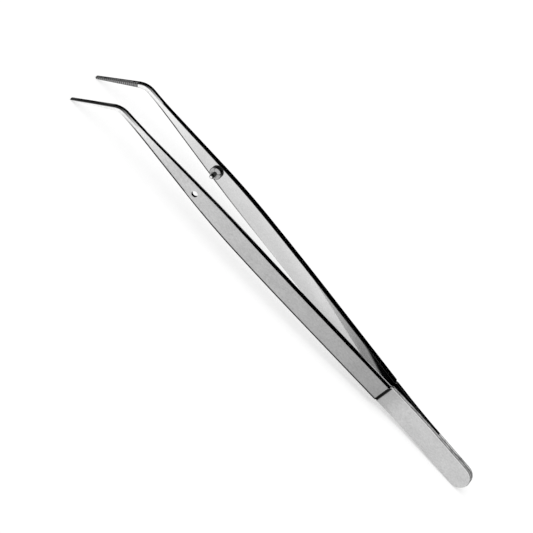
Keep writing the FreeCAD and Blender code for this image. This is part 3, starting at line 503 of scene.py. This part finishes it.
def make_serration_steel(name, tone):
    """Serrations: cut and left dull; each flank's tone is painted light or shade by the way it
    faces.
    """
    return make_worked_steel(name, "cutting marks", 4200.0, tone, contrast=0.25, gloss=(0.24, 0.36),
                             relief={"strength": 0.15, "depth": 0.002 * MM})


def make_turned_steel(name, tone, gloss):
    """Guide pin: fine turning marks, in a tone painted light or shade by the way its faces point.
    """
    return make_worked_steel(name, "turning marks", 5200.0, tone, contrast=0.10, gloss=gloss,
                             relief={"strength": 0.12, "depth": 0.002 * MM})


# The edges are tumbled, and their dark tones are painted shade. The shoulder's step is painted dark
# as shade, the hole's wall too, and the serrations' flanks get a painted light and a painted dark
# tone.
BLADE_STEELS = [
    make_satin_steel(),
    make_polished_steel(),
    make_side_steel(),
    make_worked_steel("shaded_edge_steel", "tumbled edge", 3000.0, EDGE_PAINTED_TONES, contrast=0.3,
                      gloss=(0.2, 0.34), stretch=0.2,
                      relief={"strength": 0.2, "depth": 0.003 * MM}),
    make_worked_steel("shaded_step_steel", "grain in the painted shade", 2600.0, STEP_SHADE_TONES, contrast=0.2,
                      gloss=(0.3, 0.4)),
    make_weld_steel(),
    make_worked_steel("shaded_hole_steel", "drilling marks", 4200.0, HOLE_SHADE_TONE, contrast=0.2,
                      gloss=(0.25, 0.35)),
    make_serration_steel("shaded_flank_steel", SHADED_FLANK_TONE),
    make_serration_steel("lit_flank_steel", LIT_FLANK_TONE)]
OUTER, INNER, SIDE, EDGE, STEP, WELD, HOLE, SHADED_FLANKS, LIT_FLANKS = range(len(BLADE_STEELS))

PIN_STEELS = [
    make_turned_steel("turned_face_steel", PIN_FACE_TONE, gloss=(0.14, 0.24)),
    make_turned_steel("highlit_turned_nose_steel", PIN_NOSE_HIGHLIGHT_TONE, gloss=(0.14, 0.24)),
    make_turned_steel("shaded_turned_side_steel", PIN_SIDE_SHADE_TONE, gloss=(0.10, 0.18))]
PIN_FACE, PIN_NOSE, PIN_SIDE = range(len(PIN_STEELS))


# Pieces of the pliers

# How far a face's normal leans out of the blade: square to a narrow side, across the broken inner
# edge, and along the broad faces; and how far the shoulder's step leans towards the tail.
TURNING = 0.01
LEVEL = 0.1
CHAMFER = 0.76
BROAD = 0.93
STEP_LEAN = 0.12

MERGE_DISTANCE = 0.0005 * MM
SMOOTH_ANGLE = math.radians(30)
FLEX_CUTS = 18
HOLE_REACH = 1.85 * MM
NOSE_LEAN = 0.985
NOSE_FRONT = 3.6 * MM
NEAR_OUTWARD, FAR_OUTWARD = -1, 1


def merged_copy(node, name):
    """Copy of a CAD node as one welded mesh, at the same place."""
    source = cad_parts[node]
    mesh = source.data.copy()
    mesh.materials.clear()
    piece = bpy.data.objects.new(name, mesh)
    bpy.context.scene.collection.objects.link(piece)
    bpy.context.view_layer.objects.active = piece
    piece.select_set(True)
    bpy.ops.object.mode_set(mode="EDIT")
    bpy.ops.mesh.select_all(action="SELECT")
    bpy.ops.mesh.remove_doubles(threshold=MERGE_DISTANCE)
    bpy.ops.mesh.select_mode(type="FACE")
    bpy.ops.mesh.select_all(action="DESELECT")
    bpy.ops.object.mode_set(mode="OBJECT")
    return piece


def along_and_above(point):
    """Place of a point along the blades, and its height over the middle line of a blade."""
    along = point.x * math.cos(LEAN) - point.z * math.sin(LEAN)
    above = point.x * math.sin(LEAN) + point.z * math.cos(LEAN) - MIDDLE_RISE
    if along < BEND:
        above = (above + BEND - along) * math.cos(BEAK_FALL)
    return along, above


def from_guide(point):
    """Distance of a point from the middle line of the guide."""
    along, above = along_and_above(point)
    return math.hypot(along - GUIDE, above)


def mark_edges(piece, outward, crowned):
    """Mark where each point lies between the edges of the narrow sides and of the broad faces."""
    across, crown, above_lower, below_upper = [
        piece.data.attributes.new(name, "FLOAT", "POINT").data
        for name in (ACROSS, CROWN, ABOVE_LOWER_EDGE, BELOW_UPPER_EDGE)]
    for face in piece.data.polygons:
        if face.normal.y * outward > TURNING:
            for corner in face.vertices:
                across[corner].value = 1.0
                crown[corner].value = 1.0
    for index, point in enumerate(piece.data.vertices):
        _, above = along_and_above(point.co)
        at_hole = from_guide(point.co) < HOLE_REACH
        if not crowned:
            crown[index].value = 1.0
        width = 2 * abs(above)
        above_lower[index].value = HOLE_REACH if at_hole else width if above > 0 else 0.0
        below_upper[index].value = HOLE_REACH if at_hole else width if above < 0 else 0.0


def lit_like_the_face(face, along):
    """Whether the round edge of an outer face gets the face's tone instead of the edge's painted
    shade:
    the upper one on the blade, and the lower one on the tail and at the beak."""
    below = face.normal.z < 0
    return below if along > STEP_FOOT or along < BEAK_START else not below


def finish_blade(piece, outward, matt_from):
    """Give each face of a blade its finish, by the way it looks and its place."""
    for steel in BLADE_STEELS:
        piece.data.materials.append(steel)
    for face in piece.data.polygons:
        facing = face.normal.y * outward
        along, _ = along_and_above(face.center)
        # The shoulder's step gets a finish that is painted dark as shade.
        at_step = STEP_CREST < along < STEP_FOOT and face.normal.x > STEP_LEAN
        if at_step and facing > LEVEL:
            finish = STEP
        elif facing > BROAD:
            finish = OUTER
        elif facing < -BROAD:
            finish = INNER
        # Flanks of the serrations that face the tail get the lighter painted tone, the others the
        # painted shade.
        elif facing < -CHAMFER and along < BEND:
            finish = LIT_FLANKS if face.normal.x > 0 else SHADED_FLANKS
        # Round edges facing one way take the face's tone, the others the edge's painted shade.
        elif facing > LEVEL and lit_like_the_face(face, along):
            finish = OUTER
        elif along > matt_from:
            finish = WELD
        # The wall of the guide hole gets a finish painted dark as shade.
        elif from_guide(face.center) < HOLE_REACH:
            finish = HOLE
        elif abs(facing) < LEVEL:
            finish = SIDE
        else:
            finish = EDGE
        face.material_index = finish


def cut_across(start, end, count):
    """Extra edges across the active blade, spread evenly between two places along it."""
    bpy.ops.object.mode_set(mode="EDIT")
    for step in range(count + 1):
        bpy.ops.mesh.select_all(action="SELECT")
        position = start + (end - start) * step / count
        bpy.ops.mesh.bisect(plane_co=(position, 0, 0), plane_no=(1, 0, 0))
    bpy.ops.object.mode_set(mode="OBJECT")


def shade(piece, broad_steels):
    """Smooth shading that leaves true corners sharp and lets broad faces rule the round edges."""
    bpy.ops.object.shade_smooth_by_angle(angle=SMOOTH_ANGLE)
    for steels, strength in ((range(len(piece.data.materials)), "WEAK"), (broad_steels, "STRONG")):
        for face in piece.data.polygons:
            face.select = face.material_index in steels
        bpy.ops.object.mode_set(mode="EDIT")
        bpy.ops.mesh.mod_weighted_strength(set=True, face_strength=strength)
        bpy.ops.object.mode_set(mode="OBJECT")
    weighted = piece.modifiers.new("even_faces", "WEIGHTED_NORMAL")
    weighted.keep_sharp = True
    weighted.use_face_influence = True
    bpy.ops.object.modifier_apply(modifier=weighted.name)
    piece.select_set(False)


def even_out_hole(piece, broad_steels):
    """Shade the broad faces round the guide as the flat that they are, right up to the hole."""
    mesh = piece.data
    normals = [corner.vector.copy() for corner in mesh.corner_normals]
    for steel in broad_steels:
        ring = [face for face in mesh.polygons
                if face.material_index == steel and from_guide(face.center) < 2 * HOLE_REACH]
        level = sum((face.normal * face.area for face in ring), Vector()).normalized()
        for face in ring:
            for loop in face.loop_indices:
                if from_guide(mesh.vertices[mesh.loops[loop].vertex_index].co) < HOLE_REACH:
                    normals[loop] = level
    mesh.normals_split_custom_set(normals)


near_blade = merged_copy("near_blade", "near_blade_steel")
mark_edges(near_blade, NEAR_OUTWARD, crowned=True)
finish_blade(near_blade, NEAR_OUTWARD, matt_from=STEP_FOOT)
cut_across(STEP_FOOT, WELD_FRONT, FLEX_CUTS)
shade(near_blade, (OUTER, INNER))
even_out_hole(near_blade, (OUTER, INNER))
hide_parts("near_blade")
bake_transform(near_blade)

far_blade = merged_copy("far_blade", "far_blade_steel")
mark_edges(far_blade, FAR_OUTWARD, crowned=False)
finish_blade(far_blade, FAR_OUTWARD, matt_from=WELD_FRONT)
shade(far_blade, (OUTER, INNER))
even_out_hole(far_blade, (OUTER, INNER))
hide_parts("far_blade")
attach(far_blade, "far_side")

guide_pin = merged_copy("guide_pin", "guide_pin_steel")
for steel in PIN_STEELS:
    guide_pin.data.materials.append(steel)
# The nose's end gets the painted highlight, the sides the painted shade.
for face in guide_pin.data.polygons:
    if face.normal.y < -NOSE_LEAN and face.center.y < NOSE_FRONT:
        face.material_index = PIN_NOSE
    elif abs(face.normal.y) > BROAD:
        face.material_index = PIN_FACE
    else:
        face.material_index = PIN_SIDE
shade(guide_pin, (PIN_FACE,))
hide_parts("guide_pin")
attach(guide_pin, "far_side")


# Floor, light and camera


def seen_directly(tree):
    """1 for rays from the camera and for those that steel or glass reflects or lets through."""
    path = new_node(tree, "ShaderNodeLightPath", "kind of ray")
    camera, glossy, transmitted = [
        path.outputs[kind] for kind in ("Is Camera Ray", "Is Glossy Ray", "Is Transmission Ray")]
    either = value_math(tree, "MAXIMUM", camera, glossy, "camera or glossy")
    return value_math(tree, "MAXIMUM", either, transmitted, "or transmitted")


def start_matt(name, colour, roughness):
    """Material without any shine."""
    material = bpy.data.materials.new(name)
    material.use_nodes = True
    shader = material.node_tree.nodes["Principled BSDF"]
    shader.inputs["Base Color"].default_value = colour
    shader.inputs["Roughness"].default_value = roughness
    shader.inputs["Specular IOR Level"].default_value = 0.0
    return material, shader


def make_floor():
    bpy.ops.mesh.primitive_plane_add(size=12.0, location=(0, 0, 0))
    floor = bpy.context.object
    floor.name = "floor"
    material, shader = start_matt("floor_paper", FLOOR_COLOUR, roughness=0.9)
    tree = material.node_tree
    shader.inputs["Emission Color"].default_value = WHITE
    glow = value_math(tree, "MULTIPLY", seen_directly(tree), FLOOR_GLOW, "white paper")
    tree.links.new(glow, shader.inputs["Emission Strength"])
    floor.data.materials.append(material)
    floor.select_set(False)


def add_flag(name, cloth, centre, width, height, tilt):
    """Dark board for the narrow sides to mirror. Only mirrored rays see it."""
    bpy.ops.mesh.primitive_plane_add(size=1.0, location=centre, rotation=(math.radians(tilt), 0, 0))
    flag = bpy.context.object
    flag.name = name
    flag.scale = (width, height, 1.0)
    flag.data.materials.append(cloth)
    flag.visible_camera = False
    flag.visible_diffuse = False
    flag.visible_shadow = False
    flag.visible_transmission = False
    flag.select_set(False)


def make_sky():
    world = bpy.data.worlds.new("studio")
    bpy.context.scene.world = world
    world.use_nodes = True
    tree = world.node_tree
    background = tree.nodes["Background"]
    background.inputs["Color"].default_value = WHITE
    strength = map_range(tree, seen_directly(tree), "white when seen", low=SKY_LIGHT)
    tree.links.new(strength, background.inputs["Strength"])


def add_softbox(name, location, width, power):
    """Square lamp that looks at the middle of the pliers."""
    bpy.ops.object.light_add(type="AREA", location=location)
    lamp = bpy.context.object
    lamp.name = name
    lamp.data.shape = "SQUARE"
    lamp.data.size = width
    lamp.data.energy = power
    lamp.rotation_euler = (-Vector(location)).to_track_quat("-Z", "Y").to_euler()
    lamp.visible_glossy = False
    lamp.select_set(False)


def make_camera():
    reach = math.cos(CAMERA_RISE)
    look = Vector((math.sin(CAMERA_TURN) * reach, math.cos(CAMERA_TURN) * reach,
                   -math.sin(CAMERA_RISE)))
    level = Vector((math.cos(CAMERA_TURN), -math.sin(CAMERA_TURN), 0))
    over = level.cross(look)
    across = level * math.cos(CAMERA_ROLL) + over * math.sin(CAMERA_ROLL)
    upward = over * math.cos(CAMERA_ROLL) - level * math.sin(CAMERA_ROLL)
    data = bpy.data.cameras.new("camera")
    camera = bpy.data.objects.new("camera", data)
    bpy.context.scene.collection.objects.link(camera)
    turn = Matrix((across, upward, -look)).transposed().to_4x4()
    camera.matrix_world = Matrix.Translation(CAMERA_TARGET - look * CAMERA_DISTANCE) @ turn
    data.sensor_width = SENSOR_WIDTH
    data.lens = SENSOR_WIDTH * PIXELS_PER_MM * (CAMERA_DISTANCE / MM) / PICTURE_WIDTH
    data.clip_start = 0.01
    data.clip_end = 100.0
    bpy.context.scene.camera = camera


make_floor()
flag_cloth, _ = start_matt("flag_cloth", BLACK, roughness=1.0)
add_flag("flag_behind", flag_cloth, centre=(-0.25, 0.62, 0.50), width=1.7, height=1.0, tilt=90)
add_flag("flag_by_the_tips", flag_cloth, centre=(-0.29, 0.17, 0.10), width=0.40, height=0.20,
         tilt=90)
add_flag("card_by_the_tips", flag_cloth, centre=(-0.29, 0.095, 0.0005), width=0.40, height=0.15,
         tilt=0)
make_sky()
add_softbox("key_light", location=(-0.5, -0.4, 1.3), width=1.5, power=11.0)
add_softbox("fill_light", location=(0.9, -0.2, 1.1), width=1.5, power=6.0)
make_camera()

bpy.context.scene.view_settings.view_transform = "Standard"
